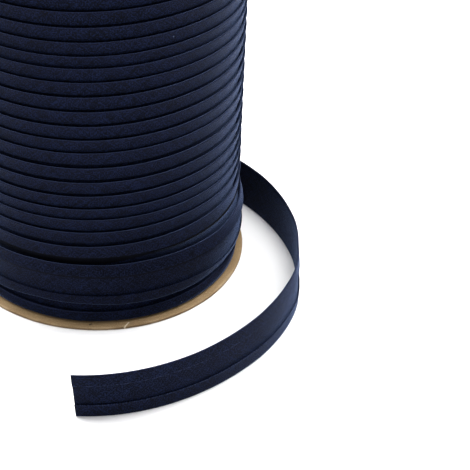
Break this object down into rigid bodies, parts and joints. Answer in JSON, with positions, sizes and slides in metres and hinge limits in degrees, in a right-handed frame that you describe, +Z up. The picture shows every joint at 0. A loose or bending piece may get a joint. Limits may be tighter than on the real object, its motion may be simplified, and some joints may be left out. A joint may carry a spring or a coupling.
{
  "type": "reel of bias tape",
  "caption": "Folded cotton bias tape wound in overlapping turns on a flanged card reel that stands on end, with the loose end standing on its edge beside it.",
  "frame": {"origin": "on the table, at the middle of the base of the whole part's box; the reel's axis stands at x = -12.4 mm, y = 23.2 mm", "axes": "+Z up along the reel's axis; -Y towards the viewer, +X to the right, where the loose end runs"},
  "size_m": [0.1388, 0.1604, 0.16],
  "materials": {
    "flange_card": "matt brown kraft card",
    "tube_card": "matt spiral-wound card",
    "tape": "navy plain-weave cotton, cut on the bias, matt with a soft sheen"
  },
  "bodies": {
    "root": {"flange_lower": "flange_card", "flange_upper": "flange_card", "reel_tube": "tube_card", "winding": "tape", "loose_end": "tape"}
  },
  "joints": []
}
